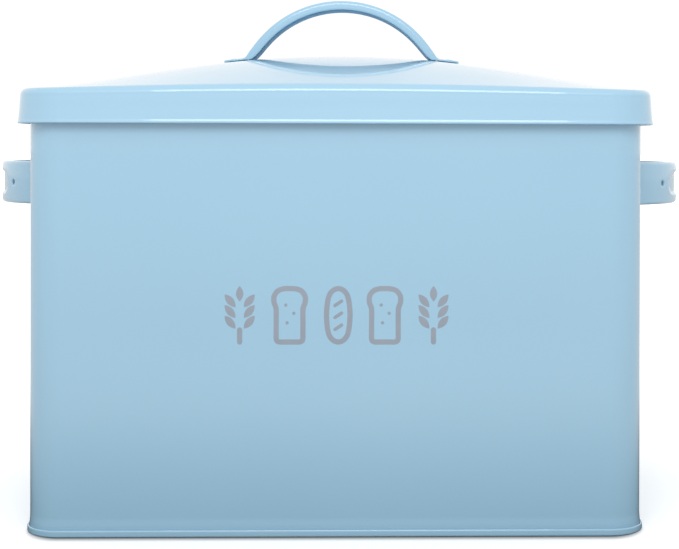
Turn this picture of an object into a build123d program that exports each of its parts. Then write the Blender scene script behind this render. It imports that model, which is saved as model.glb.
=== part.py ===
from build123d import *
import os
from math import atan, atan2, cos, degrees, pi, radians, sin, sqrt, tan

# A sheet-steel bread bin with a loose, domed lid that lifts straight off.
# Millimetres, +Z up, the long side along X, the front towards -Y. The origin is the middle of the
# footprint, on the surface that the bin stands on.

# Bin
body_length = 280.0  # over the flat side walls
body_depth = 180.0
body_corner = 16.0  # outer radius of the four upright corners
body_height = 201.2  # up to the top of the curled rim
sheet = 0.6  # steel of the wall, the base and the lid
rim_curl_radius = 1.7  # outside radius of the outward curl
flare_top = 8.5  # where the wall starts to lean out to the base seam
flare_bottom = 4.4
flare_step = 0.6  # how far out the wall's foot stands

# Base seam: the pan's edge goes down inside the wall, under its foot and up outside
seam_height = 4.0
seam_gap = 0.1
seam_bend = 0.35  # bends of the seam, at the middle of the sheet
floor_height = 4.3  # middle of the floor's sheet above the worktop
floor_bend = 1.0

# Back seam of the wall
lock_seam_width = 6.0
lock_seam_stand = 0.5

# Lid
lid_seat_gap = 0.3  # left between the rim and the lid over the corners, where the lid rests
lid_overhang = 4.3  # lid beyond the wall at its shoulder
flange_height = 15.4
flange_spread = 1.5  # how much further out the flange's lower edge stands
shoulder_radius = 3.0
hem_height = 4.5
edge_bow = 2.1  # rise of the dome's edge from a corner to the middle of a side
dome_rise = 20.0  # rise of the dome from a corner to its centre

# Strap handles, the same pressing on the lid and on both sides
strap_width = 20.5
strap_sheet = 1.0
strap_rise = 30.2
strap_span = 118.5  # over the ends of its two tabs
arch_span = 96.5  # where the arch would meet its tabs, before the bend
foot_bend = 3.5  # bend between arch and tab, at the middle of the sheet
skirt_depth = 4.7  # turned-down edges, from the strap's outer face
skirt_lift = 0.9  # how far the skirts stop above the seat
strap_edge_radius = 0.8
tab_corner = 5.0
recess_length = 55.5
recess_width = 11.4
recess_depth = 1.1
strap_hole_radius = 1.45
strap_hole_place = 34.5  # from the strap's middle, along its span
side_handle_height = 158.3

# Rivets
rivet_from_end = 4.7  # from a tab's end to the rivet
rivet_shank = 1.5
rivet_head = 2.45
rivet_head_height = 0.9
rivet_tail = 2.2
rivet_tail_height = 0.8
rivet_hole_gap = 0.05
dome_seat_gap = 0.05  # under the lid handle's flat tabs, because the dome is curved

# Places that follow from the sizes above
shoulder_length = body_length + 2 * lid_overhang
shoulder_depth = body_depth + 2 * lid_overhang
shoulder_corner = body_corner + lid_overhang
flange_draft = degrees(atan(flange_spread / flange_height))
rim_reach = (body_corner + rim_curl_radius - sheet) / sqrt(2) - body_corner
arch_foot = arch_span / 2
arch_top = strap_rise - strap_sheet
arch_radius = (arch_foot**2 + arch_top**2) / (2 * arch_top)
arch_centre = strap_rise - arch_radius
arch_middle_radius = arch_radius - strap_sheet / 2
arch_corner = sqrt(arch_middle_radius**2 - (strap_sheet / 2 - arch_centre) ** 2)
rivet_place = strap_span / 2 - rivet_from_end
side_view = Plane.XZ


def rounded_block(length, depth, corner, bottom, height, draft=0.0):
    """An upright block with rounded corners, leaning in by draft degrees."""
    with BuildPart() as block:
        with BuildSketch(Plane.XY.offset(bottom)):
            RectangleRounded(length, depth, corner)
        extrude(amount=height, taper=draft)
    return block.part


def wall_line():
    """The bin's outline at the wall's outer face, on the worktop."""
    with BuildSketch() as outline:
        RectangleRounded(body_length, body_depth, body_corner)
    return outline.sketch.face().outer_wire()


def section_plane(path):
    """A plane across the path where it starts: x runs outwards from the bin, y runs up."""
    along = path % 0
    outward = along.cross(Vector(0, 0, 1))
    if outward.dot(path @ 0) < 0:
        outward = -outward
    return Plane(origin=path @ 0, x_dir=outward, z_dir=outward.cross(Vector(0, 0, 1)))


def dome_lift(x, y):
    """Height of the lid's outer face over its corners: bowed edges, and a crown between them."""
    along = cos(pi * x / shoulder_length)
    across = cos(pi * y / shoulder_depth)
    return edge_bow * (along + across) + (dome_rise - 2 * edge_bow) * along * across


# The lid rests on the rim where the rim turns its corners
rim_corner_lift = dome_lift(body_length / 2 + rim_reach, body_depth / 2 + rim_reach)
lid_corner_height = body_height + lid_seat_gap + sheet - rim_corner_lift
flange_bottom = lid_corner_height - flange_height


def dome_height(x, y):
    return lid_corner_height + dome_lift(x, y)


def dome_slope(x):
    """Fall of the dome along X on its centre line, for each millimetre."""
    return (dome_rise - edge_bow) * pi / shoulder_length * sin(pi * x / shoulder_length)


def under_dome(drop):
    """Everything below the dome's surface, which is lowered by drop."""
    columns, rows = 24, 16
    reach_x, reach_y = shoulder_length / 2 + 4, shoulder_depth / 2 + 4
    points = [
        [
            (x, y, dome_height(x, y) - drop)
            for x in [reach_x * (2 * i / columns - 1) for i in range(columns + 1)]
        ]
        for y in [reach_y * (2 * j / rows - 1) for j in range(rows + 1)]
    ]
    surface = Face.make_surface_from_array_of_points(points, tol=0.001)
    with BuildPart() as mass:
        extrude(surface, amount=2 * (dome_rise + flange_height), dir=(0, 0, -1))
    return mass.part


def lid_solid(inset, drop, bottom, fold):
    """A solid lid, its sides moved in by inset and its top down by drop, from bottom upwards."""
    spread = flange_spread * (lid_corner_height - bottom) / flange_height - inset
    with BuildPart() as solid_lid:
        add(
            rounded_block(
                shoulder_length + 2 * spread,
                shoulder_depth + 2 * spread,
                shoulder_corner + spread,
                bottom,
                lid_corner_height - bottom + dome_rise + 1,
                flange_draft,
            )
        )
        add(under_dome(drop), mode=Mode.INTERSECT)
        crown = solid_lid.faces().filter_by(GeomType.BSPLINE).sort_by(Axis.Z)[-1]
        fillet(crown.edges(), fold)
    return solid_lid.part


def strap_band(outer, inner, width):
    """A half ring round the arch's centre, above the seat, width wide along Y."""
    with BuildPart() as band:
        with BuildSketch(side_view):
            with Locations((0, arch_centre)):
                Circle(outer)
                Circle(inner, mode=Mode.SUBTRACT)
            with Locations((0, skirt_lift)):
                Rectangle(
                    4 * arch_radius, 4 * arch_radius, align=(Align.CENTER, Align.MAX), mode=Mode.SUBTRACT
                )
        extrude(amount=width / 2, both=True)
    return band.part


def skirts():
    """The turned-down long edges of a strap, from under the rounding of its outer face."""
    with BuildPart() as both:
        add(strap_band(arch_radius - strap_edge_radius, arch_radius - skirt_depth, strap_width))
        inside = strap_band(arch_radius, arch_radius - 2 * skirt_depth, strap_width - 2 * strap_sheet)
        add(inside, mode=Mode.SUBTRACT)
    return both.part


def recess_block(outer, inner, grow):
    """The part of a half ring that lies in the recess's outline, grown by grow all round."""
    with BuildPart() as block:
        add(strap_band(outer, inner, strap_width))
        with BuildSketch():
            SlotOverall(recess_length + 2 * grow, recess_width + 2 * grow)
        extrude(amount=2 * strap_rise, mode=Mode.INTERSECT)
    return block.part


def rivet_seat(side, tab_fall):
    """The plane of a tab's outer face at its rivet, with side -1 or 1, on a strap seated on Z = 0."""
    fall = radians(tab_fall)
    height = strap_sheet / cos(fall) - (rivet_place - arch_corner) * tan(fall)
    return Plane(origin=(side * rivet_place, 0, height), z_dir=(side * sin(fall), 0, cos(fall)))


def strap_handle(tab_fall):
    """One pressed handle, seated on Z = 0 with its span along X. Its tabs fall by tab_fall degrees."""
    middle = strap_sheet / 2
    start = degrees(atan2(middle - arch_centre, arch_corner))
    tab_end = middle - (strap_span / 2 - arch_corner) * tan(radians(tab_fall))
    with BuildPart() as strap:
        with BuildSketch(side_view):
            with BuildLine() as sheet_line:
                CenterArc((0, arch_centre), arch_middle_radius, start, 180 - 2 * start)
                Line((arch_corner, middle), (strap_span / 2, tab_end))
                Line((-arch_corner, middle), (-strap_span / 2, tab_end))
                fillet(sheet_line.vertices().sort_by(Axis.X)[1:-1], foot_bend)
            trace(line_width=strap_sheet)
        extrude(amount=strap_width / 2, both=True)
        crown = strap.faces().filter_by(GeomType.CYLINDER).sort_by(Axis.Z)[-1]
        fillet(crown.edges().filter_by(GeomType.CIRCLE), strap_edge_radius)
        with BuildSketch(Plane.XY.offset(-strap_rise)):
            RectangleRounded(strap_span, strap_width, tab_corner)
        extrude(amount=3 * strap_rise, mode=Mode.INTERSECT)
        add(skirts())
        floor_top = arch_radius - recess_depth
        add(recess_block(arch_middle_radius, floor_top - strap_sheet, strap_sheet))
        add(recess_block(arch_radius + strap_sheet, floor_top, 0), mode=Mode.SUBTRACT)
        for side in (-1, 1):
            crown_height = sqrt(arch_radius**2 - strap_hole_place**2)
            outward = (side * strap_hole_place, 0, crown_height)
            on_crown = (side * strap_hole_place, 0, crown_height + arch_centre)
            with Locations(Plane(origin=on_crown, z_dir=outward)):
                Hole(strap_hole_radius, depth=2 * strap_sheet)
            with Locations(rivet_seat(side, tab_fall)):
                Hole(rivet_shank + rivet_hole_gap, depth=2 * strap_sheet)
    return strap.part


def rivet(grip):
    """A domed rivet with its head on Z = 0, closed under sheets that are grip thick together."""
    with BuildPart() as fastener:
        with BuildSketch(side_view):
            with BuildLine():
                TangentArc((0, rivet_head_height), (rivet_head, 0), tangent=(1, 0))
                Polyline((rivet_head, 0), (rivet_shank, 0), (rivet_shank, -grip), (rivet_tail, -grip))
                TangentArc((0, -grip - rivet_tail_height), (rivet_tail, -grip), tangent=(1, 0))
                Line((0, rivet_head_height), (0, -grip - rivet_tail_height))
            make_face()
        revolve(axis=Axis.Z)
    return fastener.part


# Where the three handles sit: on the dome, and on the flat of each side wall
lid_tab_fall = degrees(atan(dome_slope(rivet_place)))
lid_seat_height = (
    dome_height(rivet_place, 0)
    + dome_seat_gap
    + (rivet_place - arch_corner) * tan(radians(lid_tab_fall))
)
lid_seat = Plane.XY.offset(lid_seat_height)
left_seat = Plane((-body_length / 2, 0, side_handle_height), x_dir=(0, 1, 0), z_dir=(-1, 0, 0))
right_seat = Plane((body_length / 2, 0, side_handle_height), x_dir=(0, 1, 0), z_dir=(1, 0, 0))
wall_grip = strap_sheet + sheet
dome_grip = strap_sheet + 2 * dome_seat_gap + sheet


def rivet_location(seat, side, tab_fall):
    return seat.location * rivet_seat(side, tab_fall).location


# Body wall: one strip of steel round the bin, its foot leaning out and its rim curled outwards
outline = wall_line()
curl_middle = rim_curl_radius - sheet / 2
curl_centre = rim_curl_radius - sheet
lip_bottom = sheet + seam_gap
with BuildPart() as body_wall:
    with BuildSketch(section_plane(outline)):
        with BuildLine():
            Line((flare_step - sheet / 2, lip_bottom), (flare_step - sheet / 2, flare_bottom))
            Spline(
                (flare_step - sheet / 2, flare_bottom),
                (-sheet / 2, flare_top),
                tangents=[(0, 1), (0, 1)],
            )
            Line((-sheet / 2, flare_top), (-sheet / 2, body_height - rim_curl_radius))
            CenterArc((curl_centre, body_height - rim_curl_radius), curl_middle, 180, -270)
        trace(line_width=sheet)
    sweep(path=outline)
    with BuildSketch(Plane.XZ.offset(-body_depth / 2 + sheet / 2)):
        with Locations((0, (flare_top + body_height - 2 * rim_curl_radius) / 2)):
            Rectangle(lock_seam_width, body_height - 2 * rim_curl_radius - flare_top)
    extrude(amount=-(lock_seam_stand + sheet / 2))
    for seat in (left_seat, right_seat):
        for side in (-1, 1):
            with Locations(rivet_location(seat, side, 0)):
                Hole(rivet_shank + rivet_hole_gap, depth=wall_grip + sheet)
body_wall.part.label = "body_wall"

# Base pan: a flat floor, its edge folded down, under the wall's foot and up outside it
inner_leg = flare_step - sheet - seam_gap - sheet / 2
outer_leg = flare_step + seam_gap + sheet / 2
floor_join = inner_leg - floor_bend - 2.0  # the swept edge and the flat floor overlap inside this
with BuildPart() as base_pan:
    with BuildSketch(section_plane(outline)):
        with BuildLine():
            FilletPolyline(
                (floor_join - 1.0, floor_height),
                (inner_leg, floor_height),
                (inner_leg, sheet / 2),
                (outer_leg, sheet / 2),
                (outer_leg, seam_height),
                radius=[floor_bend, seam_bend, seam_bend],
            )
        trace(line_width=sheet)
    sweep(path=outline)
    add(
        rounded_block(
            body_length + 2 * floor_join,
            body_depth + 2 * floor_join,
            body_corner + floor_join,
            floor_height - sheet / 2,
            sheet,
        )
    )
base_pan.part.label = "base_pan"

# Lid panel: pressed dome, straight flange and a lower edge hemmed inwards
hem_top = flange_bottom + hem_height
with BuildPart() as lid_panel:
    add(lid_solid(0, 0, flange_bottom, shoulder_radius))
    add(lid_solid(sheet, sheet, hem_top, shoulder_radius - sheet), mode=Mode.SUBTRACT)
    hem_spread = flange_spread - 2 * sheet
    hem_hollow = rounded_block(
        shoulder_length + 2 * hem_spread,
        shoulder_depth + 2 * hem_spread,
        shoulder_corner + hem_spread,
        flange_bottom,
        hem_height,
        flange_draft,
    )
    add(hem_hollow, mode=Mode.SUBTRACT)
    lower_edge = lid_panel.faces().sort_by(Axis.Z)[0]
    fillet(lower_edge.edges(), 0.9 * sheet)
    for side in (-1, 1):
        with Locations(rivet_location(lid_seat, side, lid_tab_fall)):
            Hole(rivet_shank + rivet_hole_gap, depth=dome_grip + sheet)
lid_panel.part.label = "lid_panel"

# Handles: the same pressing three times, the lid's with its tabs set to the dome
with BuildPart() as lid_handle:
    with Locations(lid_seat):
        add(strap_handle(lid_tab_fall))
lid_handle.part.label = "lid_handle"

with BuildPart() as side_handle_left:
    with Locations(left_seat):
        add(strap_handle(0))
side_handle_left.part.label = "side_handle_left"

with BuildPart() as side_handle_right:
    with Locations(right_seat):
        add(strap_handle(0))
side_handle_right.part.label = "side_handle_right"

pieces = [body_wall, base_pan, lid_panel, lid_handle, side_handle_left, side_handle_right]

# Rivets: one through each tab, closed inside the bin or under the dome
rivet_rows = [
    ("lid_handle_rivet_left", lid_seat, -1, lid_tab_fall, dome_grip),
    ("lid_handle_rivet_right", lid_seat, 1, lid_tab_fall, dome_grip),
    ("left_handle_rivet_front", left_seat, -1, 0, wall_grip),
    ("left_handle_rivet_rear", left_seat, 1, 0, wall_grip),
    ("right_handle_rivet_front", right_seat, -1, 0, wall_grip),
    ("right_handle_rivet_rear", right_seat, 1, 0, wall_grip),
]
for name, seat, side, tab_fall, grip in rivet_rows:
    with BuildPart() as one_rivet:
        with Locations(rivet_location(seat, side, tab_fall)):
            add(rivet(grip))
    one_rivet.part.label = name
    pieces.append(one_rivet)

os.makedirs("parts", exist_ok=True)
for piece in pieces:
    export_step(piece.part, f"parts/{piece.part.label}.step")
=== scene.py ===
from math import asin, atan, atan2, cos, degrees, exp, floor, hypot, pi, radians, sin, sqrt, tan

import bmesh
import bpy
from mathutils import Matrix, Vector


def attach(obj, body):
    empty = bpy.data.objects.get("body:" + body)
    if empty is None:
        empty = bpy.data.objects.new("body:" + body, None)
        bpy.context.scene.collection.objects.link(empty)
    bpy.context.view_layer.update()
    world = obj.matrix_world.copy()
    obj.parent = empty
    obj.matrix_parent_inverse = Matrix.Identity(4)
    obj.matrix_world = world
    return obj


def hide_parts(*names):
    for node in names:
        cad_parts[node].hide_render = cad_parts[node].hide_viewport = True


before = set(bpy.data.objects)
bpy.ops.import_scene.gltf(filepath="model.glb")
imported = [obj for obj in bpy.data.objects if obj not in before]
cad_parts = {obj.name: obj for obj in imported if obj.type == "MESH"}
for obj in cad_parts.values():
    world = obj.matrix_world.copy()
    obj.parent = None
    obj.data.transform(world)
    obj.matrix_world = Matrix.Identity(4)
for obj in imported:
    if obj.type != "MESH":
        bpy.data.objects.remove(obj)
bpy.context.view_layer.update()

# ---------------------------------------------------------------------------------------------
# Bin wall: one strip of 0.6 mm steel rolled round the corners and joined at the back. Its foot
# leans out into the base seam and its rim is curled outwards. Sprayed and stoved inside and out
# with a glossy light-blue enamel.
# ---------------------------------------------------------------------------------------------
MM = 0.001
sheet = 0.6
body_length, body_depth, body_height, body_corner = 280.0, 180.0, 201.2, 16.0
rim_curl_radius = 1.7
foot_bottom, foot_lean, lean_from, lean_to = 0.7, 0.3, 3.6, 8.8
sweep_spacing, corner_facets, curl_facets = 1.8, 48, 18


def add_node(tree, kind, settings=None, **inputs):
    """One node, with its properties and its input values or links. __ in a name is a space."""
    made = tree.nodes.new(kind)
    for key, value in (settings or {}).items():
        setattr(made, key, value)
    for key, value in inputs.items():
        socket = made.inputs[int(key[1:]) if key[0] == "_" else key.replace("__", " ")]
        if isinstance(value, bpy.types.NodeSocket):
            tree.links.new(value, socket)
        else:
            socket.default_value = value
    return made


def maths(tree, operation, *terms, vector=False):
    """One step of arithmetic on numbers, or on vectors."""
    kind = "ShaderNodeVectorMath" if vector else "ShaderNodeMath"
    inputs = {f"_{n}": term for n, term in enumerate(terms)}
    made = add_node(tree, kind, {"operation": operation}, **inputs)
    return made.outputs["Vector" if vector and operation != "LENGTH" else "Value"]


def enamel(name, light, deep, peel=0.16, gloss=0.3, cloud=7.0):
    """Sprayed stoving enamel: a slightly uneven film, its fine orange peel, and a clear gloss."""
    paint = bpy.data.materials.new(name)
    paint.use_nodes = True
    tree = paint.node_tree
    tree.nodes.clear()
    place = add_node(tree, "ShaderNodeTexCoord").outputs["Object"]
    spot = add_node(tree, "ShaderNodeMapping", Vector=place).outputs["Vector"]
    film = add_node(
        tree, "ShaderNodeTexNoise", Vector=spot, Scale=cloud, Detail=3.0, Roughness=0.5
    ).outputs["Fac"]
    grain = add_node(
        tree, "ShaderNodeTexNoise", Vector=spot, Scale=900.0, Detail=2.0, Roughness=0.6
    ).outputs["Fac"]
    colour = add_node(tree, "ShaderNodeValToRGB", Fac=maths(tree, "MULTIPLY_ADD", grain, 0.25, film))
    colour.color_ramp.elements[0].position = 0.35
    colour.color_ramp.elements[0].color = (*deep, 1)
    colour.color_ramp.elements[1].position = 0.92
    colour.color_ramp.elements[1].color = (*light, 1)
    haze = add_node(
        tree, "ShaderNodeTexNoise", Vector=spot, Scale=38.0, Detail=5.0, Roughness=0.62
    ).outputs["Fac"]
    roughness = add_node(
        tree,
        "ShaderNodeMapRange",
        Value=haze,
        From__Min=0.2,
        From__Max=0.8,
        To__Min=gloss - 0.03,
        To__Max=gloss + 0.04,
    ).outputs["Result"]
    wave = add_node(
        tree, "ShaderNodeTexNoise", Vector=spot, Scale=230.0, Detail=1.5, Roughness=0.4
    ).outputs["Fac"]
    slow_wave = add_node(
        tree, "ShaderNodeTexNoise", Vector=spot, Scale=26.0, Detail=1.0, Roughness=0.3
    ).outputs["Fac"]
    sag = add_node(
        tree, "ShaderNodeBump", Strength=0.5, Distance=0.0001, Height=slow_wave
    ).outputs["Normal"]
    skin = add_node(
        tree, "ShaderNodeBump", Strength=peel, Distance=0.000045, Height=wave, Normal=sag
    ).outputs["Normal"]
    shader = add_node(
        tree,
        "ShaderNodeBsdfPrincipled",
        Base__Color=colour.outputs["Color"],
        Roughness=roughness,
        Normal=skin,
        IOR=1.5,
        Coat__Weight=1.0,
        Coat__Roughness=0.04,
        Coat__IOR=1.5,
        Coat__Normal=skin,
    )
    add_node(tree, "ShaderNodeOutputMaterial", Surface=shader.outputs["BSDF"])
    return paint


blue_enamel = enamel("blue_enamel", (0.352, 0.586, 0.752), (0.334, 0.566, 0.734))


def sheet_outline(line, thickness, rounds=4):
    """The closed outline of bent sheet along a line of (out, up) points, with rounded edges."""
    half = thickness / 2
    sides = {1: [], -1: []}
    normals = []
    for i, (s, z) in enumerate(line):
        before, after = line[max(i - 1, 0)], line[min(i + 1, len(line) - 1)]
        directions = []
        for a, b in ((before, (s, z)), ((s, z), after)):
            length = hypot(b[0] - a[0], b[1] - a[1])
            if length:
                directions.append(((b[0] - a[0]) / length, (b[1] - a[1]) / length))
        tx = sum(d[0] for d in directions) / len(directions)
        tz = sum(d[1] for d in directions) / len(directions)
        stretch = 1 / (tx * tx + tz * tz)
        normals.append((-tz * stretch, tx * stretch))
        for side in sides:
            sides[side].append((s + side * half * -tz * stretch, z + side * half * tx * stretch))

    def edge(i, turn):
        (s, z), (nx, nz) = line[i], normals[i]
        tip = []
        for k in range(1, rounds):
            a = pi * k / rounds
            along = half * 0.8 * sin(a) * turn
            tip.append((s + nx * half * cos(a) * turn + nz * along * turn,
                        z + nz * half * cos(a) * turn - nx * along * turn))
        return tip

    return sides[1] + edge(-1, 1) + sides[-1][::-1] + edge(0, -1)


def line_object(name, points, closed=True):
    """A loose line of edges for a tree to sweep: out along X, and up along -Y, as a sweep turns it."""
    mesh = bpy.data.meshes.new(name)
    count = len(points)
    edges = [(i, (i + 1) % count) for i in range(count if closed else count - 1)]
    mesh.from_pydata([(out * MM, -up * MM, 0) for out, up in points], edges, [])
    made = bpy.data.objects.new(name, mesh)
    bpy.context.scene.collection.objects.link(made)
    return made


def new_tree(name, sockets):
    """A Geometry Nodes tree with a geometry input and output and the named inputs."""
    tree = bpy.data.node_groups.new(name, "GeometryNodeTree")
    tree.interface.new_socket("Geometry", in_out="INPUT", socket_type="NodeSocketGeometry")
    tree.interface.new_socket("Geometry", in_out="OUTPUT", socket_type="NodeSocketGeometry")
    for label, kind in sockets.items():
        tree.interface.new_socket(label, in_out="INPUT", socket_type="NodeSocket" + kind)
    return tree, tree.nodes.new("NodeGroupInput").outputs


def end_tree(tree, geometry, paint):
    """Closes a tree: real geometry, smooth faces, its material, and the output."""
    real = add_node(tree, "GeometryNodeRealizeInstances", Geometry=geometry).outputs[0]
    smooth = add_node(tree, "GeometryNodeSetShadeSmooth", Geometry=real).outputs[0]
    done = add_node(tree, "GeometryNodeSetMaterial", Geometry=smooth, Material=paint).outputs[0]
    add_node(tree, "NodeGroupOutput", Geometry=done)


def run_tree(source, tree, values, name):
    """Evaluates the tree on the source object and keeps the result as a plain mesh object."""
    modifier = source.modifiers.new(tree.name, "NODES")
    modifier.node_group = tree
    for item in tree.interface.items_tree:
        if item.in_out == "INPUT" and item.name in values:
            modifier[item.identifier] = values[item.name]
    bpy.context.view_layer.update()
    solved = source.evaluated_get(bpy.context.evaluated_depsgraph_get())
    mesh = bpy.data.meshes.new_from_object(solved)
    mesh.name = name
    bpy.data.objects.remove(source)
    made = bpy.data.objects.new(name, mesh)
    bpy.context.scene.collection.objects.link(made)
    return made


def tidy_mesh(piece, weld=0.002, sharp=None):
    """Welds doubles, turns the faces outwards and sets smooth shading, with creases past sharp."""
    work = bmesh.new()
    work.from_mesh(piece.data)
    bmesh.ops.remove_doubles(work, verts=work.verts, dist=weld * MM)
    bmesh.ops.dissolve_degenerate(work, edges=work.edges, dist=1e-7)
    bmesh.ops.recalc_face_normals(work, faces=work.faces)
    for face in work.faces:
        face.smooth = True
    work.to_mesh(piece.data)
    work.free()
    if sharp is not None:
        piece.data.set_sharp_from_angle(angle=radians(sharp))
    return piece


sweep_tree, size = new_tree(
    "sheet_rolled_round_a_corner_block",
    {"Length": "Float", "Depth": "Float", "Corner": "Float", "Spacing": "Float", "Paint": "Material"},
)
block = add_node(
    sweep_tree, "GeometryNodeCurvePrimitiveQuadrilateral", Width=size["Length"], Height=size["Depth"]
).outputs[0]
rounded = add_node(
    sweep_tree,
    "GeometryNodeFilletCurve",
    {"mode": "POLY"},
    Curve=block,
    Count=corner_facets,
    Radius=size["Corner"],
).outputs[0]
spaced = add_node(
    sweep_tree, "GeometryNodeResampleCurve", {"mode": "LENGTH"}, Curve=rounded, Length=size["Spacing"]
).outputs[0]
upright = add_node(sweep_tree, "GeometryNodeSetCurveNormal", {"mode": "Z_UP"}, Curve=spaced).outputs[0]
section = add_node(sweep_tree, "GeometryNodeMeshToCurve", Mesh=size["Geometry"]).outputs[0]
swept = add_node(
    sweep_tree, "GeometryNodeCurveToMesh", Curve=upright, Profile__Curve=section
).outputs[0]
end_tree(sweep_tree, swept, size["Paint"])
block_size = {
    "Length": body_length * MM,
    "Depth": body_depth * MM,
    "Corner": body_corner * MM,
    "Spacing": sweep_spacing * MM,
    "Paint": blue_enamel,
}

# The middle of the wall's sheet, as (out, up): its foot, the lean, the straight and the curled rim
wall_line = [(foot_lean - sheet / 2, z) for z in (foot_bottom, 1.6, 2.6, 3.2)]
for step in range(9):
    share = step / 8
    upright_share = share * share * (3 - 2 * share)
    wall_line.append(
        (foot_lean * (1 - upright_share) - sheet / 2, lean_from + (lean_to - lean_from) * share)
    )
wall_line += [(-sheet / 2, z) for z in (9.4, 11, 20, 60, 110, 160, 190, 197.6, 198.9)]
curl_line_radius = rim_curl_radius - sheet / 2
for step in range(curl_facets + 1):
    turn = pi - 1.5 * pi * step / curl_facets
    wall_line.append(
        (
            rim_curl_radius - sheet + curl_line_radius * cos(turn),
            body_height - rim_curl_radius + curl_line_radius * sin(turn),
        )
    )
bin_wall = run_tree(
    line_object("wall_section", sheet_outline(wall_line, sheet)), sweep_tree, block_size, "bin_wall"
)
tidy_mesh(bin_wall)
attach(bin_wall, "bin")
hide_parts("body_wall")

# ---------------------------------------------------------------------------------------------
# Back seam: the two ends of the wall's strip hooked together and flattened, which leaves a low
# band up the middle of the back with one rounded and one stepped edge.
# ---------------------------------------------------------------------------------------------
# The band's outline, as (across, out from the wall), and its levels, as (height, share of its stand)
seam_section = [(-3.0, -0.25), (-3.0, 0.02), (-2.96, 0.24), (-2.8, 0.41), (-2.55, 0.5), (-1.0, 0.5)]
seam_section += [(1.2, 0.5), (2.2, 0.49), (2.42, 0.46), (2.52, 0.38), (2.56, 0.2), (2.62, 0.08)]
seam_section += [(2.75, 0.03), (3.0, 0.0), (3.0, -0.25)]
seam_levels = [(8.7, 0.0), (9.0, 0.55), (9.5, 0.9), (10.4, 1.0), (12.0, 1.0), (60.0, 1.0), (130.0, 1.0)]
seam_levels += [(190.0, 1.0), (195.9, 1.0), (196.8, 0.9), (197.3, 0.55), (197.6, 0.0)]
seam_mesh = bmesh.new()
seam_rows = []
for z, share in seam_levels:
    stands = [(x, body_depth / 2 + (out * share if out > 0 else out)) for x, out in seam_section]
    seam_rows.append([seam_mesh.verts.new((-x * MM, y * MM, z * MM)) for x, y in stands])
for lower, upper in zip(seam_rows, seam_rows[1:]):
    for i in range(len(lower)):
        j = (i + 1) % len(lower)
        seam_mesh.faces.new((lower[i], lower[j], upper[j], upper[i]))
for end in (seam_rows[0], seam_rows[-1]):
    seam_mesh.faces.new(end)
back_seam_mesh = bpy.data.meshes.new("back_seam")
seam_mesh.to_mesh(back_seam_mesh)
seam_mesh.free()
back_seam = bpy.data.objects.new("back_seam", back_seam_mesh)
bpy.context.scene.collection.objects.link(back_seam)
back_seam_mesh.materials.append(blue_enamel)
tidy_mesh(back_seam, weld=0.0005, sharp=70)
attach(back_seam, "bin")

# ---------------------------------------------------------------------------------------------
# Base pan: a flat sheet with its edge folded down inside the wall, under its foot and up outside
# it, then rolled tight, which makes the bead round the bottom. The same steel and enamel.
# ---------------------------------------------------------------------------------------------
floor_height, floor_bend, pan_gap, seam_top = 4.3, 1.0, 0.1, 3.3
seam_lean, fold_rise = 0.6, 0.55
inner_leg = seam_lean - sheet - pan_gap - sheet / 2
outer_leg = seam_lean + pan_gap + sheet / 2


def ring_points(length, depth, corner, offset, corner_steps=14, spacing=6.0):
    """Points round a rounded block's outline that is moved out by offset, anticlockwise."""
    points = []
    straight_lead = 0.6
    half_x, half_y, reach = length / 2 - corner, depth / 2 - corner, corner + offset
    centres = [(half_x, half_y), (-half_x, half_y), (-half_x, -half_y), (half_x, -half_y)]
    for n, (x, y) in enumerate(centres):
        turns = [radians(90 * n + 90 * k / corner_steps) for k in range(corner_steps + 1)]
        points += [(x + reach * cos(a), y + reach * sin(a)) for a in turns]
        x_next, y_next = centres[(n + 1) % 4]
        run = hypot(x_next - x, y_next - y)
        steps = int(run / spacing)
        lead = straight_lead / run
        shares = [lead] + [k / steps for k in range(1, steps)] + [1 - lead]
        x, y = points[-1]
        x_next += reach * cos(turns[-1])
        y_next += reach * sin(turns[-1])
        points += [(x + (x_next - x) * k, y + (y_next - y) * k) for k in shares]
    return points


def shell_of_rings(name, rings, paint):
    """A closed shell through rings of equal count, whose two ends close on a point."""
    work = bmesh.new()
    rows = [[work.verts.new(Vector(p[:3]) * MM) for p in ring] for ring in rings]
    for a, b in zip(rows, rows[1:]):
        for i in range(len(a)):
            j = (i + 1) % len(a)
            work.faces.new((a[i], a[j], b[j], b[i]))
    for row in (rows[0], rows[-1]):
        pole = work.verts.new(sum((v.co for v in row), Vector()) / len(row))
        for i in range(len(row)):
            work.faces.new((row[i], row[(i + 1) % len(row)], pole))
    mesh = bpy.data.meshes.new(name)
    work.to_mesh(mesh)
    work.free()
    mesh.materials.append(paint)
    made = bpy.data.objects.new(name, mesh)
    bpy.context.scene.collection.objects.link(made)
    return made


# The middle of the pan's sheet: the floor's edge, down inside the wall, round its foot and up outside
pan_line = [(out, floor_height) for out in (-9.0, -6.0, -3.5, -2.0)]
for step in range(7):
    turn = pi / 2 * step / 6
    pan_line.append(
        (inner_leg - floor_bend * (1 - sin(turn)), floor_height - floor_bend * (1 - cos(turn)))
    )
pan_line += [(inner_leg, up) for up in (2.6, 1.7, 1.1)]
fold_half = (outer_leg - inner_leg) / 2
for step in range(13):
    turn = pi * step / 12
    pan_line.append((inner_leg + fold_half * (1 - cos(turn)), sheet / 2 + fold_rise * (1 - sin(turn))))
pan_line += [(outer_leg, up) for up in (1.2, 1.6, 2.0, 2.4)]
pan_line += [(outer_leg - 0.03, 2.7), (outer_leg - 0.1, seam_top - 0.3)]
pan_section = sheet_outline(pan_line, sheet)[:-3]
inner_ring = ring_points(body_length, body_depth, body_corner, pan_line[0][0])
shares = (0.05, 0.25, 0.5, 0.75, 0.95)
pan_rings = [[(x * k, y * k, pan_section[0][1]) for x, y in inner_ring] for k in shares]
for out, up in pan_section:
    pan_rings.append([(x, y, up) for x, y in ring_points(body_length, body_depth, body_corner, out)])
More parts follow.
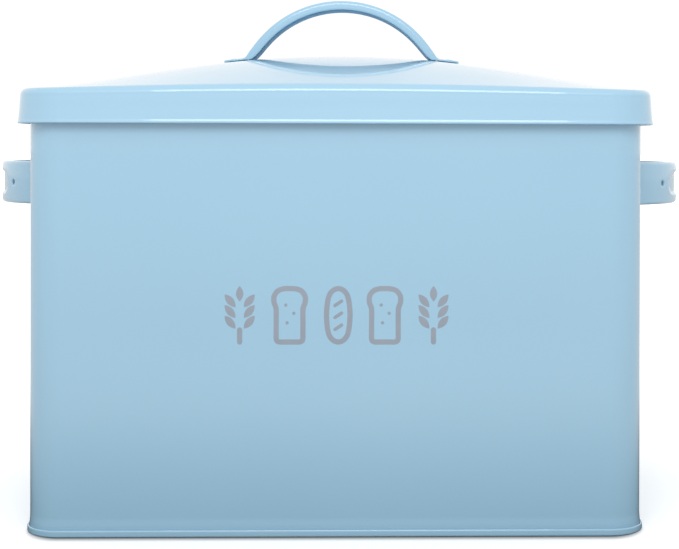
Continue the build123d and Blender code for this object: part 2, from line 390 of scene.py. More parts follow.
pan_rings += [[(x * k, y * k, pan_section[-1][1]) for x, y in inner_ring] for k in shares[::-1]]
base_bead = tidy_mesh(shell_of_rings("base_pan_and_bead", pan_rings, blue_enamel), weld=0.0005)
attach(base_bead, "bin")
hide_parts("base_pan")

# ---------------------------------------------------------------------------------------------
# Front print: a row of five bakery signs, screen printed in satin grey ink on the enamel. Two
# ears of wheat, two slices and a baton, all drawn with one thickness of line.
# ---------------------------------------------------------------------------------------------
line_width = 2.35
print_middle, print_height = 99.9, 26.4
mark_width, leaf_lean = 1.5, 40
ink_stand, ink_root = 0.03, 0.005
sign_places = {"ear": (-43.1, 44.1), "slice": (-20.7, 22.2), "baton": (1.2,)}

grey_ink = bpy.data.materials.new("grey_ink")
grey_ink.use_nodes = True
ink_tree = grey_ink.node_tree
ink_tree.nodes.clear()
ink_place = add_node(ink_tree, "ShaderNodeTexCoord").outputs["Object"]
ink_cloud = add_node(
    ink_tree, "ShaderNodeTexNoise", Vector=ink_place, Scale=160.0, Detail=3.0
).outputs["Fac"]
ink_colour = add_node(ink_tree, "ShaderNodeValToRGB", Fac=ink_cloud)
ink_colour.color_ramp.elements[0].position = 0.3
ink_colour.color_ramp.elements[0].color = (0.300, 0.345, 0.408, 1)
ink_colour.color_ramp.elements[1].position = 0.75
ink_colour.color_ramp.elements[1].color = (0.322, 0.368, 0.431, 1)
mesh_mark = add_node(
    ink_tree, "ShaderNodeTexNoise", Vector=ink_place, Scale=2600.0, Detail=1.0
).outputs["Fac"]
ink_rough = add_node(
    ink_tree, "ShaderNodeMapRange", Value=mesh_mark, To__Min=0.36, To__Max=0.52
).outputs["Result"]
ink_skin = add_node(
    ink_tree, "ShaderNodeBump", Strength=0.25, Distance=0.00002, Height=mesh_mark
).outputs["Normal"]
ink_shader = add_node(
    ink_tree,
    "ShaderNodeBsdfPrincipled",
    Base__Color=ink_colour.outputs["Color"],
    Roughness=ink_rough,
    Normal=ink_skin,
    IOR=1.48,
)
add_node(ink_tree, "ShaderNodeOutputMaterial", Surface=ink_shader.outputs["BSDF"])


def smooth_loop(corners, steps=10):
    """A smooth closed line through the corners."""
    points, count = [], len(corners)
    for i in range(count):
        p0, p1, p2, p3 = (Vector(corners[(i + k) % count]) for k in (-1, 0, 1, 2))
        for k in range(steps):
            t = k / steps
            points.append(
                0.5
                * (
                    2 * p1
                    + (p2 - p0) * t
                    + (2 * p0 - 5 * p1 + 4 * p2 - p3) * t * t
                    + (3 * p1 - p0 - 3 * p2 + p3) * t**3
                )
            )
    return points


def ink_patch(work, points):
    """A filled patch of ink from its outline."""
    work.faces.new([work.verts.new((x * MM, 0, z * MM)) for x, z in points])


def ink_dash(work, start, end, width):
    """A straight stroke with round ends."""
    a, b = Vector(start), Vector(end)
    lean = atan2(b.y - a.y, b.x - a.x)
    outline = []
    for centre, first in ((b, lean - pi / 2), (a, lean + pi / 2)):
        for k in range(13):
            turn = first + pi * k / 12
            outline.append((centre.x + width / 2 * cos(turn), centre.y + width / 2 * sin(turn)))
    ink_patch(work, outline)


def ink_loop(work, points, width):
    """A closed stroke along the points."""
    rows = []
    for i, p in enumerate(points):
        along = (points[(i + 1) % len(points)] - points[i - 1]).normalized()
        across = Vector((-along.y, along.x)) * width / 2
        rows.append([work.verts.new((q.x * MM, 0, q.y * MM)) for q in (p + across, p - across)])
    for i, (a, b) in enumerate(rows):
        c, d = rows[(i + 1) % len(rows)]
        work.faces.new((a, b, d, c))


def ink_leaf(work, x, z, length, width, lean):
    """A grain: a pointed oval, leaning lean degrees from upright."""
    outline = []
    for side in (1, -1):
        for k in range(12):
            t = k / 12 if side == 1 else 1 - k / 12
            across = side * width / 2 * sin(pi * t) ** 0.85
            up = (t - 0.5) * length
            a = radians(lean)
            outline.append((x + up * sin(a) + across * cos(a), z + up * cos(a) - across * sin(a)))
    ink_patch(work, outline)


reach = (print_height - line_width) / 2
slice_half = [(0, -reach), (2.4, -reach), (4.4, -reach), (5.6, -reach + 0.5), (6.0, -reach + 1.7)]
slice_half += [(6.0, -8.0), (6.0, -3.0), (6.0, 2.2), (6.3, 3.9), (7.0, 5.9), (6.9, 8.7)]
slice_half += [(5.2, 11.0), (2.6, reach - 0.1)]
slice_line = slice_half + [(0, reach)] + [(-x, z) for x, z in slice_half[:0:-1]]
baton_half = [(0, -reach), (2.9, -reach + 1.3), (4.6, -7.2), (5.3, 0), (4.6, 7.2), (2.9, reach - 1.3)]
baton_line = baton_half + [(0, reach)] + [(-x, z) for x, z in baton_half[:0:-1]]
ink_work = bmesh.new()
for sign, places in sign_places.items():
    for place in places:
        before = set(ink_work.verts)
        if sign == "slice":
            ink_loop(ink_work, smooth_loop(slice_line), line_width)
            for x, z in ((-1.7, 4.6), (1.9, 0.9), (-1.1, -3.4)):
                ink_dash(ink_work, (x, z), (x, z + 0.01), mark_width)
        elif sign == "baton":
            ink_loop(ink_work, smooth_loop(baton_line), line_width)
            for z in (-5.4, 0.0, 5.4):
                ink_dash(ink_work, (-1.5, z - 1.0), (1.5, z + 1.0), mark_width)
        else:
            ink_dash(ink_work, (0, -reach), (0, -6.6), line_width)
            for z in (-3.9, 0.9, 5.7):
                for side in (-1, 1):
                    ink_leaf(ink_work, side * 4.3, z + 0.8, 7.6, 3.3, side * leaf_lean)
            ink_leaf(ink_work, 0, 9.7, 7.0, 3.3, 0)
        for v in set(ink_work.verts) - before:
            v.co.x += place * MM
            v.co.z += print_middle * MM
for v in ink_work.verts:
    v.co.y = -(body_depth / 2 + ink_stand) * MM
grown = bmesh.ops.extrude_face_region(ink_work, geom=list(ink_work.faces))
for item in grown["geom"]:
    if isinstance(item, bmesh.types.BMVert):
        item.co.y = -(body_depth / 2 - ink_root) * MM
# The extrusion leaves its elements in a different order each run, so they are put in one order
ranks = {v: n for n, v in enumerate(sorted(ink_work.verts, key=lambda v: tuple(v.co)))}
ink_work.verts.sort(key=ranks.get)
for elements in (ink_work.edges, ink_work.faces):
    in_order = sorted(elements, key=lambda e: sorted(ranks[v] for v in e.verts))
    turns = {element: n for n, element in enumerate(in_order)}
    elements.sort(key=turns.get)
ink_mesh = bpy.data.meshes.new("front_print")
ink_work.to_mesh(ink_mesh)
ink_work.free()
ink_mesh.materials.append(grey_ink)
front_print = bpy.data.objects.new("front_print", ink_mesh)
bpy.context.scene.collection.objects.link(front_print)
tidy_mesh(front_print, weld=0.0001, sharp=30)
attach(front_print, "bin")

# ---------------------------------------------------------------------------------------------
# Side handles: straps of 1 mm steel pressed to an arch, with turned-down edges, a long recess,
# two small holes and a flat tab at each end. Enamelled, and riveted through the side walls.
# ---------------------------------------------------------------------------------------------
strap_width, strap_sheet, strap_rise, strap_span, arch_span = 20.5, 1.0, 30.2, 118.5, 96.5
foot_bend, skirt_depth, shoulder_round, strap_crown = 3.5, 4.7, 1.8, 0.25
skirt_grow, skirt_clear = 2.9, 0.12
tab_corner, tab_edge_round, lip_round = 5.0, 0.4, 0.3
recess_length, recess_width, recess_depth, recess_edge = 55.5, 11.4, 1.1, 1.1
hole_radius, hole_place, hole_edge = 1.45, 34.5, 0.18
skirt_start, swell_lead, swell_run = 1.0, 0.5, 13.5
top_steps, hole_reach, leg_steps, bend_steps = 22, 4, 26, 10
side_handle_height = 158.3
arch_radius = ((arch_span / 2) ** 2 + (strap_rise - strap_sheet) ** 2) / (2 * (strap_rise - strap_sheet))
arch_centre = strap_rise - arch_radius
arch_line = arch_radius - strap_sheet / 2
arch_corner = sqrt(arch_line**2 - (strap_sheet / 2 - arch_centre) ** 2)
hole_step = hole_radius / 2

handle_enamel = enamel(
    "blue_enamel_on_handles",
    (0.354, 0.588, 0.754),
    (0.334, 0.566, 0.734),
    peel=0.14,
    gloss=0.28,
    cloud=22.0,
)


def ease(t):
    """0 to 1, slow at both ends."""
    t = min(max(t, 0.0), 1.0)
    return t * t * t * (t * (6 * t - 15) + 10)


def strap_stations(tab_fall):
    """Half of the strap's line, from its top to a tab's end: place, lean of its outer normal, how
    far up the leg and how far from the tab's end each station is, its place on a hole's grid, and
    how deep its edge can be before it meets the seat."""
    fall = radians(tab_fall)
    run = Vector((cos(fall), -sin(fall)))
    lift = Vector((sin(fall), cos(fall)))
    middle = Vector((0, arch_centre))
    start = Vector((arch_corner, strap_sheet / 2)) + lift * foot_bend - middle
    half_b = start.dot(run)
    gone = -half_b + sqrt(half_b**2 - start.length_squared + (arch_line + foot_bend) ** 2)
    bend_centre = middle + start + run * gone
    foot_turn = atan2(bend_centre.x, bend_centre.y - arch_centre)
    foot = bend_centre - lift * foot_bend
    tab_run = (strap_span / 2 - foot.x) / cos(fall)
    bend_run = foot_bend * (foot_turn - fall)
    leg_run = arch_line * foot_turn
    hole_turn = asin(hole_place / arch_radius)
    grid = hole_step / arch_radius
    first, last = hole_turn - hole_reach * grid, hole_turn + hole_reach * grid
    turns = [first * k / top_steps for k in range(top_steps)]
    turns += [hole_turn + k * grid for k in range(-hole_reach, hole_reach + 1)]
    turns += [last + (foot_turn - last) * k / leg_steps for k in range(1, leg_steps + 1)]
    stations = []
    for n, turn in enumerate(turns):
        place = middle + arch_line * Vector((sin(turn), cos(turn)))
        mark = n - top_steps - hole_reach
        mark = mark if abs(mark) <= hole_reach else None
        stations.append((place, turn, bend_run + leg_run - arch_line * turn, strap_span, mark))
    for k in range(1, bend_steps + 1):
        turn = foot_turn + (fall - foot_turn) * k / bend_steps
        place = bend_centre - foot_bend * Vector((sin(turn), cos(turn)))
        stations.append((place, turn, bend_run * (1 - k / bend_steps), tab_run, None))
    ends = (5.0, 4.2, 3.4, 2.6, 1.9, 1.35, 0.95, 0.6, 0.35, 0.22, 0.12, 0.04, 0.0)
    far = [tab_run - (tab_run - ends[0]) * k / 5 for k in range(1, 5)]
    for left in [*far, *ends]:
        stations.append((foot + run * (tab_run - left), fall, 0.0, left, None))
    with_room = []
    for place, turn, leg, left, mark in stations:
        out = Vector((sin(turn), cos(turn)))
        over_seat = (place + out * strap_sheet / 2 - foot).dot(lift) + strap_sheet / 2
        with_room.append((place, turn, leg, left, mark, over_seat / out.dot(lift)))
    return with_room


def strap_section(leg, left, room):
    """Half a section: (across, drop) points from the middle of the outer face round the edge to the
    middle of the inner face, with its crown and flat half width, which a hole's grid needs."""
    swell = ease((leg + swell_lead) / swell_run)
    grown = 1 - exp(-leg * leg / (leg + skirt_start) / skirt_grow)
    depth = strap_sheet + (skirt_depth - strap_sheet) * grown
    depth = max(strap_sheet, min(depth, room - skirt_clear))
    round_out = tab_edge_round + (shoulder_round - tab_edge_round) * swell
    crown = strap_crown * swell
    edge = max(0.0, 1 - left / lip_round)
    bevel = lip_round * (1 - sqrt(max(0.0, 1 - edge * edge)))
    width = strap_width / 2
    if left < tab_corner:
        width += sqrt(tab_corner**2 - (tab_corner - left) ** 2) - tab_corner
    width -= bevel
    flat = width - round_out
    start = atan(2 * crown / flat)
    across = [k * hole_step for k in range(hole_reach + 1)]
    across += [3.5, 4.0, 4.4, 4.8, 5.15, 5.5, 5.85, 6.2, 6.6, 7.2, 8.0]
    scale = flat / (strap_width / 2 - shoulder_round)
    flats = [y * scale for y in across]
    outer = [(y, crown * (y / flat) ** 2 + bevel) for y in flats]
    for k in range(9):
        a = start + (pi / 2 - start) * k / 8
        outer.append(
            (width - round_out + round_out * sin(a), crown + bevel + round_out * (cos(start) - cos(a)))
        )
    low = outer[-1][1]
    base = max(depth - bevel - lip_round, low + 0.02)
    outer += [(width, low + (base - low) * k / 3) for k in (1, 2, 3)]
    inside = depth - strap_sheet
    lip_in = min(lip_round, inside / 2)
    outer += [(width - 0.09, base + 0.21), (width - lip_round, base + lip_round)]
    bottom = base + lip_round
    wall = width - strap_sheet
    inner = [(wall + lip_in, bottom), (wall + 0.3 * lip_in, bottom - 0.3 * lip_in), (wall, bottom - lip_in)]
    round_in = max(0.0, min(round_out - strap_sheet, inside - lip_in))
    under = crown + strap_sheet - bevel
    inner += [(wall, bottom - lip_in + (under + round_in - bottom + lip_in) * k / 2) for k in (1, 2)]
    for k in range(1, 5):
        a = pi / 2 * (1 - k / 4)
        inner.append((wall - round_in + round_in * sin(a), under + round_in * (1 - cos(a))))
    inner_flat = wall - round_in
    for y in flats[::-1]:
        y_in = min(y, inner_flat - 0.02 * (flats[-1] - y) / flats[-1])
        inner.append((y_in, crown * (y_in / flat) ** 2 + strap_sheet - bevel))
    return outer + inner, crown, flat


def recess_at(x, y):
    """How deep the recess is at a place of the strap, seen from above."""
    gap = hypot(max(abs(x) - (recess_length - recess_width) / 2, 0), y) - recess_width / 2
    return recess_depth * ease((recess_edge - gap) / (2 * recess_edge) - 0.18)


def strap_mesh(name, tab_fall, to_place):
    """The pressed strap as one closed mesh. to_place turns a point on the seat into its place."""
    half = strap_stations(tab_fall)
    stations = [(Vector((-s[0].x, s[0].y)), -s[1], *s[2:]) for s in half[:0:-1]] + half
    work = bmesh.new()
    rows, facts = [], []

    def point(place, turn, y, drop):
        height = strap_sheet / 2 - drop
        at = Vector((place.x + height * sin(turn), y, place.y + height * cos(turn)))
        return work.verts.new(to_place(at) * MM)

    for place, turn, leg, left, mark, room in stations:
        section, crown, flat = strap_section(leg, left, room)
        full = section + [(-y, drop) for y, drop in section[-2:0:-1]]
        row = []
        for y, drop in full:
            sunk = recess_at(place.x, y) if abs(y) < 7.5 and drop < strap_sheet + 1.2 else 0.0
            row.append(point(place, turn, y, drop + sunk))
        rows.append(row)
        facts.append((crown, flat, turn))
    count = len(rows[0])
    inner_middle = count // 2
    centres = [n for n, station in enumerate(stations) if station[4] == 0]
    square = [(i, j) for i in range(-2, 3) for j in range(-2, 3) if max(abs(i), abs(j)) == 2]
    square.sort(key=lambda s: atan2(s[1], s[0]))
    gone = set()
    for n in centres:
        crown, flat, turn = facts[n]
        rings = {}
        for layer, (middle, way) in enumerate(((0, 1), (inner_middle, -1))):
            for i in range(-3, 4):
                for j in range(-3, 4):
                    size = max(abs(i), abs(j))
                    vert = rows[n + i][(middle + way * j) % count]
                    if size < 2:
                        gone.add(vert)
                        continue
                    angle = atan2(j, i)
                    quarter = pi / 2 * floor(angle / (pi / 2) + 0.5)
                    angle = quarter + pi / 4 * tan(angle - quarter)
                    ring = hole_radius + hole_edge + (size - 2) * hole_step * 1.1
                    keep = 0.45 if size == 3 else 0.0
                    a = (ring * cos(angle)) * (1 - keep) + i * hole_step * keep
                    b = (ring * sin(angle)) * (1 - keep) + j * hole_step * keep

                    def spot(a, b, extra):
                        lean = turn + a / arch_radius
                        drop = crown * (b / flat) ** 2 + layer * strap_sheet + extra
                        height = arch_radius - drop
                        return to_place(
                            Vector((height * sin(lean), b, arch_centre + height * cos(lean)))
                        ) * MM

                    vert.co = spot(a, b, 0)
                    if size == 2:
                        bore = hole_radius / (hole_radius + hole_edge)
                        rings[(layer, i, j)] = (
                            vert,
                            work.verts.new(spot(a * bore, b * bore, hole_edge * (1 - 2 * layer))),
                        )
        for a, b in zip(square, square[1:] + square[:1]):
            chain_a = [*rings[(0, *a)], *rings[(1, *a)][::-1]]
            chain_b = [*rings[(0, *b)], *rings[(1, *b)][::-1]]
            for k in range(3):
                work.faces.new((chain_a[k], chain_b[k], chain_b[k + 1], chain_a[k + 1]))
    for a, b in zip(rows, rows[1:]):
        for i in range(count):
            corners = (a[i], a[(i + 1) % count], b[(i + 1) % count], b[i])
            if not gone & set(corners):
                work.faces.new(corners)
    for vert in gone:
        work.verts.remove(vert)
    for row in (rows[0], rows[-1]):
        work.faces.new(row)
    mesh = bpy.data.meshes.new(name)
    work.to_mesh(mesh)
    work.free()
    mesh.materials.append(handle_enamel)
    made = bpy.data.objects.new(name, mesh)
    bpy.context.scene.collection.objects.link(made)
    return tidy_mesh(made, weld=0.004, sharp=50)


for name, side in (("side_handle_left", -1), ("side_handle_right", 1)):
    side_handle = strap_mesh(
        name + "_strap",
        0.0,
        lambda p, side=side: Vector((side * (body_length / 2 + p.z), p.x, side_handle_height + side * p.y)),
    )
    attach(side_handle, "bin")
    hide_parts(name)

# ---------------------------------------------------------------------------------------------
# Side handles' rivets: soft steel rivets with a low domed head on the tab, closed inside the bin,
# enamelled with the handles.
# ---------------------------------------------------------------------------------------------
rivet_from_end, rivet_shank, rivet_head, rivet_head_height = 4.7, 1.5, 2.45, 0.9
rivet_tail, rivet_tail_height, rivet_rim = 2.2, 0.8, 0.18
rivet_place = strap_span / 2 - rivet_from_end


def rivet_dome(radius, height):
    """The low dome of a head, as (radius, height) points from its top to its edge."""
    dome = [(0, height)]
    for k in range(1, 9):
        turn = pi / 2 * k / 8
        rise = rivet_rim + (height - rivet_rim) * max(cos(turn), 0.0) ** 0.9
        dome.append((radius * sin(turn), rise))
    return dome + [(radius, 0.08), (radius - 0.06, 0.0)]


def rivet_shape(grip):
    """One rivet turned about Z, its head's seat on Z = 0."""
    tail = rivet_dome(rivet_tail, rivet_tail_height)
    profile = rivet_dome(rivet_head, rivet_head_height) + [(rivet_shank, 0.0), (rivet_shank, -grip)]
    profile += [(radius, -grip - height) for radius, height in tail[::-1]]
    work = bmesh.new()
    turns = 28
    steps = [2 * pi * k / turns for k in range(turns)]
    rows = [[work.verts.new((r * MM * cos(a), r * MM * sin(a), z * MM)) for a in steps] for r, z in profile]
    for a, b in zip(rows, rows[1:]):
        for k in range(turns):
            work.faces.new((a[k], a[(k + 1) % turns], b[(k + 1) % turns], b[k]))
    mesh = bpy.data.meshes.new("rivet_shape")
    work.to_mesh(mesh)
    work.free()
    made = bpy.data.objects.new("rivet_shape", mesh)
    bpy.context.scene.collection.objects.link(made)
    return tidy_mesh(made, weld=0.001)


rivet_tree, into = new_tree("rivets_at_seats", {"Rivet": "Object", "Paint": "Material"})
one_rivet = add_node(
    rivet_tree, "GeometryNodeObjectInfo", {"transform_space": "ORIGINAL"}, Object=into["Rivet"]
).outputs["Geometry"]
head_way = add_node(
    rivet_tree, "GeometryNodeInputNamedAttribute", {"data_type": "FLOAT_VECTOR"}, Name="head_way"
).outputs["Attribute"]
turned = add_node(
    rivet_tree, "FunctionNodeAlignRotationToVector", {"axis": "Z"}, Vector=head_way
).outputs[0]
set_rivets = add_node(
    rivet_tree,
    "GeometryNodeInstanceOnPoints",
    Points=into["Geometry"],
    Instance=one_rivet,
    Rotation=turned,
).outputs[0]
end_tree(rivet_tree, set_rivets, into["Paint"])


def rivets(name, grip, seats):
    """Rivets with their heads' seats at the places and along the ways given, as one mesh."""
    mesh = bpy.data.meshes.new(name + "_seats")
    mesh.from_pydata([Vector(place) * MM for place, _ in seats], [], [])
    ways = mesh.attributes.new("head_way", "FLOAT_VECTOR", "POINT")
    for n, (_, way) in enumerate(seats):
        ways.data[n].vector = way
    points = bpy.data.objects.new(name + "_seats", mesh)
    bpy.context.scene.collection.objects.link(points)
    shape = rivet_shape(grip)
    made = run_tree(points, rivet_tree, {"Rivet": shape, "Paint": handle_enamel}, name)
    bpy.data.objects.remove(shape)
    return tidy_mesh(made, weld=0.0005, sharp=55)


side_seats = [
    ((side * (body_length / 2 + strap_sheet), end * rivet_place, side_handle_height), (side, 0, 0))
    for side in (-1, 1)
    for end in (-1, 1)
]
side_rivets = rivets("side_handle_rivets", strap_sheet + sheet, side_seats)
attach(side_rivets, "bin")
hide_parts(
    "left_handle_rivet_front",
    "left_handle_rivet_rear",
    "right_handle_rivet_front",
    "right_handle_rivet_rear",
)

# ---------------------------------------------------------------------------------------------
# Lid: one sheet pressed to a low dome with bowed edges, a straight flange all round, and a lower
# edge hemmed inwards. It sits loose on the rim. The same enamel, inside and out.
# ---------------------------------------------------------------------------------------------
lid_overhang, flange_height, flange_spread, shoulder_radius, hem_height = 4.3, 15.4, 1.5, 3.0, 4.5
edge_bow, dome_rise, lid_seat_gap, flange_inset = 2.1, 20.0, 0.3, 0.05
lid_length, lid_depth = body_length + 2 * lid_overhang, body_depth + 2 * lid_overhang
lid_corner = body_corner + lid_overhang


def dome_lift(x, y):
    """Height of the lid's outer face over its corners."""
    along, across = cos(pi * x / lid_length), cos(pi * y / lid_depth)
    return edge_bow * (along + across) + (dome_rise - 2 * edge_bow) * along * across


rim_reach = (body_corner + rim_curl_radius - sheet) / sqrt(2) - body_corner
rim_lift = dome_lift(body_length / 2 + rim_reach, body_depth / 2 + rim_reach)
lid_corner_height = body_height + lid_seat_gap + sheet - rim_lift
draft = atan(flange_spread / flange_height)
flange_bottom = lid_corner_height - flange_height


def flange_out(up):
    """How far out the flange's outer face is at a height, with the hem's edge a touch prouder."""
    out = (lid_corner_height - up) * tan(draft) - flange_inset
    pinch = 0.14 * ease((up - flange_bottom - 0.9) / 0.8)
    return out - pinch * (1 - ease((up - flange_bottom - 6.0) / 5.0))


# Each stop of the blank's section: out from the shoulder, height, and its share of the pressing
fold_out = -shoulder_radius * (1 - sin(draft)) / cos(draft)
fold_up = lid_corner_height - shoulder_radius
blank = []
for k in range(13):
    a = (pi / 2 - draft) * k / 12
    blank.append((fold_out + shoulder_radius * sin(a), fold_up + shoulder_radius * cos(a), 1.0))
fold_foot = blank[-1][1]
fall = fold_foot - flange_bottom
for left in (0.97, 0.92, 0.8, 0.65, 0.5, 0.4, 0.32, 0.26, 0.2, 0.165, 0.14, 0.12, 0.1, 0.085, 0.07, 0.055):
    up = flange_bottom + fall * left
    blank.append((flange_out(up), up, left))
hem_round = sheet
for k in range(1, 12):
    a = -pi * k / 12
    blank.append(
        (
            flange_out(flange_bottom) - hem_round + hem_round * cos(a),
            flange_bottom + hem_round + hem_round * sin(a),
            0.0,
        )
    )
hem_top = flange_bottom + hem_height
for up in (0.9, 1.6, 2.6, 3.6, 4.2):
    blank.append((flange_out(flange_bottom + up) - 2 * sheet, flange_bottom + up, 0.0))
blank.append((flange_out(hem_top) - 1.8 * sheet, hem_top, 0.0))
blank.append((flange_out(hem_top) - 1.1 * sheet, hem_top, 0.0))
blank.append((flange_out(hem_top) - sheet, hem_top + 0.08, 0.0))
for left in (0.4, 0.5, 0.65, 0.8, 0.92, 0.97):
    up = flange_bottom + fall * left
    blank.append((flange_out(up) - sheet, up, left))
for k in range(9):
    a = (pi / 2 - draft) * (1 - k / 8)
    inner_round = shoulder_radius - sheet
    blank.append((fold_out + inner_round * sin(a), fold_up + inner_round * cos(a), 1.0))

dome_shares = [0.015 + 0.985 * k / 46 for k in range(46)]
dome_edge = ring_points(lid_length, lid_depth, lid_corner, fold_out - 0.6, spacing=4.0)
blank_rings = [[(x * k, y * k, lid_corner_height, 1.0) for x, y in dome_edge] for k in (*dome_shares, 1.0)]
for out, up, share in blank:
    blank_rings.append(
        [(x, y, up, share) for x, y in ring_points(lid_length, lid_depth, lid_corner, out, spacing=4.0)]
    )
under = lid_corner_height - sheet
blank_rings += [[(x * k, y * k, under, 1.0) for x, y in dome_edge] for k in (1.0, *dome_shares[::-1])]
lid_blank = shell_of_rings("lid_blank", blank_rings, blue_enamel)
pressed = lid_blank.data.attributes.new("pressed", "FLOAT", "POINT")
press_shares = [point[3] for ring in blank_rings for point in ring] + [1.0, 1.0]
pressed.data.foreach_set("value", press_shares)

press_tree, press = new_tree(
    "dome_pressed_with_bowed_edges",
    {"Length": "Float", "Depth": "Float", "Edge Bow": "Float", "Rise": "Float", "Paint": "Material"},
)
spot = add_node(press_tree, "GeometryNodeInputPosition").outputs[0]
spot_xyz = add_node(press_tree, "ShaderNodeSeparateXYZ", Vector=spot).outputs
waves = []
for axis, side in (("X", "Length"), ("Y", "Depth")):
    turn = maths(press_tree, "DIVIDE", maths(press_tree, "MULTIPLY", spot_xyz[axis], pi), press[side])
    waves.append(maths(press_tree, "COSINE", turn))
crown = maths(press_tree, "SUBTRACT", press["Rise"], maths(press_tree, "MULTIPLY", press["Edge Bow"], 2.0))
edge_lift = maths(press_tree, "MULTIPLY", maths(press_tree, "ADD", *waves), press["Edge Bow"])
lift = maths(press_tree, "MULTIPLY_ADD", maths(press_tree, "MULTIPLY", *waves), crown, edge_lift)
share = add_node(
    press_tree, "GeometryNodeInputNamedAttribute", {"data_type": "FLOAT"}, Name="pressed"
).outputs["Attribute"]
offset = add_node(
    press_tree, "ShaderNodeCombineXYZ", Z=maths(press_tree, "MULTIPLY", lift, share)
).outputs[0]
shaped = add_node(
    press_tree, "GeometryNodeSetPosition", Geometry=press["Geometry"], Offset=offset
).outputs[0]
end_tree(press_tree, shaped, press["Paint"])
lid_shell = run_tree(
    lid_blank,
    press_tree,
    {
        "Length": lid_length * MM,
        "Depth": lid_depth * MM,
        "Edge Bow": edge_bow * MM,
        "Rise": dome_rise * MM,
        "Paint": blue_enamel,
    },
    "lid_shell",
)
lid_shell.data.attributes.remove(lid_shell.data.attributes["pressed"])
tidy_mesh(lid_shell, weld=0.0005)
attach(lid_shell, "lid")
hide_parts("lid_panel")

# ---------------------------------------------------------------------------------------------
# Lid handle: the same pressed strap, its tabs set to the fall of the dome, held by two rivets
# that are closed under the dome.
# ---------------------------------------------------------------------------------------------
seat_gap = 0.05
dome_slope = (dome_rise - edge_bow) * pi / lid_length * sin(pi * rivet_place / lid_length)
tab_fall = degrees(atan(dome_slope))
slope_rise = (rivet_place - arch_corner) * dome_slope
lid_seat = lid_corner_height + dome_lift(rivet_place, 0) + seat_gap + slope_rise
lid_handle = strap_mesh("lid_handle_strap", tab_fall, lambda p: Vector((p.x, p.y, p.z + lid_seat)))
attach(lid_handle, "lid")
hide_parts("lid_handle")

tab_top = strap_sheet / cos(radians(tab_fall)) - slope_rise
lid_seats = [
    (
        (side * rivet_place, 0, lid_seat + tab_top),
        (side * sin(radians(tab_fall)), 0, cos(radians(tab_fall))),
    )
    for side in (-1, 1)
]
lid_rivets = rivets("lid_handle_rivets", strap_sheet + 2 * seat_gap + sheet, lid_seats)
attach(lid_rivets, "lid")
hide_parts("lid_handle_rivet_left", "lid_handle_rivet_right")

# ---------------------------------------------------------------------------------------------
# The studio: a white table with a painted contact shadow round the bin's foot, a painted glow that grows
# away from the bin, and painted shade near the bin for reflected rays, a white room, one soft light over
# the front, and the camera a little right of the middle, level with the upper part of the bin.
# ---------------------------------------------------------------------------------------------
table_mesh = bpy.data.meshes.new("table_top")
table_half = 30.0
corners = [(-1, -1), (1, -1), (1, 1), (-1, 1)]
table_mesh.from_pydata([(x * table_half, y * table_half, 0) for x, y in corners], [], [(0, 1, 2, 3)])
table_top = bpy.data.objects.new("table_top", table_mesh)
bpy.context.scene.collection.objects.link(table_top)
table_white = bpy.data.materials.new("table_white")
table_white.use_nodes = True
table_tree = table_white.node_tree
table_tree.nodes.clear()
table_place = add_node(table_tree, "ShaderNodeTexCoord").outputs["Object"]
block_half = (body_length / 2 * MM - body_corner * MM, body_depth / 2 * MM - body_corner * MM, 0.0)
past_edges = maths(table_tree, "ABSOLUTE", table_place, vector=True)
past_edges = maths(table_tree, "SUBTRACT", past_edges, block_half, vector=True)
past_edges = maths(table_tree, "MAXIMUM", past_edges, (0.0, 0.0, 0.0), vector=True)
# Two distances from the bin's foot: the second grows faster at its sides than in front of it
aways = []
for side_share in (1.3, 6.0):
    stretched = maths(table_tree, "MULTIPLY", past_edges, (side_share, 1.0, 1.0), vector=True)
    from_middle = maths(table_tree, "LENGTH", stretched, vector=True)
    aways.append(maths(table_tree, "SUBTRACT", from_middle, body_corner * MM))
away, away_in_front = aways
# Painted light: the table glows for the camera, least at the bin's foot and more further out
painted_glow = add_node(table_tree, "ShaderNodeValToRGB", Fac=away_in_front)
painted_glow.color_ramp.elements[0].color = (0.28, 0.28, 0.28, 1)
painted_glow.color_ramp.elements[1].color = (0.7, 0.7, 0.7, 1)
for distance, strength in ((0.03, 0.3), (0.3, 0.35)):
    painted_glow.color_ramp.elements.new(distance).color = (strength, strength, strength, 1)
# Painted shadow: a near-black line on the table round the bin's foot, ending about 4 mm out, in its colour
# and its glow
painted_contact_shadow = add_node(table_tree, "ShaderNodeValToRGB", Fac=away)
painted_contact_shadow.color_ramp.elements[0].position = 0.0034
painted_contact_shadow.color_ramp.elements[0].color = (0.01, 0.015, 0.02, 1)
painted_contact_shadow.color_ramp.elements[1].position = 0.0044
painted_contact_shadow.color_ramp.elements[1].color = (0.9, 0.9, 0.9, 1)
painted_glow_and_shadow = maths(table_tree, "MULTIPLY", painted_glow.outputs["Color"], painted_contact_shadow.outputs["Color"])
# What the camera sees: the painted contact shadow as the table's colour, and the painted glow as its
# emission
seen_top = add_node(
    table_tree,
    "ShaderNodeBsdfPrincipled",
    Base__Color=painted_contact_shadow.outputs["Color"],
    Roughness=0.9,
    Emission__Color=(1, 1, 1, 1),
    Emission__Strength=painted_glow_and_shadow,
).outputs[0]
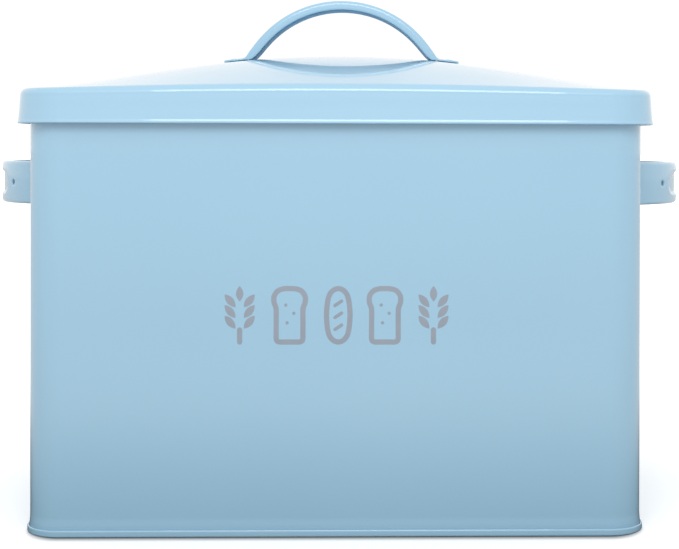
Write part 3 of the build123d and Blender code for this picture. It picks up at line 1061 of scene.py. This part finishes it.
# Painted shade for reflected rays: at the bin's foot the table is black to glossy rays and 0.3 grey to
# diffuse ones, rising to 0.85 by 0.4 m out, so the bin's front darkens towards the bottom
rays = add_node(table_tree, "ShaderNodeLightPath").outputs
painted_shade_at_foot = maths(table_tree, "MULTIPLY", rays["Is Diffuse Ray"], 0.3)
bounce_with_painted_shade = add_node(
    table_tree,
    "ShaderNodeMapRange",
    {"interpolation_type": "SMOOTHSTEP"},
    Value=away,
    From__Min=0.0,
    From__Max=0.4,
    To__Min=painted_shade_at_foot,
    To__Max=0.85,
).outputs["Result"]
bounce_grey_with_painted_shade = add_node(table_tree, "ShaderNodeCombineColor", _0=bounce_with_painted_shade, _1=bounce_with_painted_shade, _2=bounce_with_painted_shade).outputs[0]
bounced_with_painted_shade = add_node(
    table_tree, "ShaderNodeBsdfPrincipled", Base__Color=bounce_grey_with_painted_shade, Roughness=0.9
).outputs[0]
table_mix = add_node(
    table_tree, "ShaderNodeMixShader", _0=rays["Is Camera Ray"], _1=bounced_with_painted_shade, _2=seen_top
).outputs[0]
add_node(table_tree, "ShaderNodeOutputMaterial", Surface=table_mix)
table_mesh.materials.append(table_white)

room = bpy.data.worlds.new("white_room")
bpy.context.scene.world = room
room.use_nodes = True
room_tree = room.node_tree
room_tree.nodes.clear()
fill = add_node(room_tree, "ShaderNodeBackground", Color=(1, 1, 1, 1), Strength=0.86).outputs[0]
walls = add_node(room_tree, "ShaderNodeBackground", Color=(1, 1, 1, 1), Strength=1.05).outputs[0]
lit = add_node(room_tree, "ShaderNodeLightPath").outputs["Is Diffuse Ray"]
both_lights = add_node(room_tree, "ShaderNodeMixShader", _0=lit, _1=walls, _2=fill).outputs[0]
add_node(room_tree, "ShaderNodeOutputWorld", Surface=both_lights)


def soft_light(name, place, target, width, height, power):
    """A rectangular soft light that faces the target."""
    lamp = bpy.data.lights.new(name, "AREA")
    lamp.shape = "RECTANGLE"
    lamp.size, lamp.size_y, lamp.energy = width, height, power
    made = bpy.data.objects.new(name, lamp)
    bpy.context.scene.collection.objects.link(made)
    made.location = place
    made.rotation_euler = (Vector(target) - Vector(place)).to_track_quat("-Z", "Y").to_euler()
    return made


soft_light("front_softbox", (0.0, -0.62, 0.5), (0, -0.09, 0.12), 0.36, 0.28, 1.45)

bpy.context.scene.view_settings.view_transform = "Standard"
camera_data = bpy.data.cameras.new("camera")
camera_data.lens = 80.404
camera_data.sensor_width = 36.0
camera_data.shift_x, camera_data.shift_y = -0.12, -0.17
camera = bpy.data.objects.new("camera", camera_data)
bpy.context.scene.collection.objects.link(camera)
camera.location = (0.02247, -0.77292, 0.17638)
to_right, down, roll = radians(1.325), radians(0.507), radians(0.151)
ahead = Vector((sin(to_right) * cos(down), cos(to_right) * cos(down), -sin(down)))
level = Vector((cos(to_right), -sin(to_right), 0))
above = level.cross(ahead)
right = level * cos(roll) + above * sin(roll)
above = above * cos(roll) - level * sin(roll)
camera.rotation_euler = Matrix((right, above, -ahead)).transposed().to_euler()
camera_data.clip_start, camera_data.clip_end = 0.01, 100.0
bpy.context.scene.camera = camera
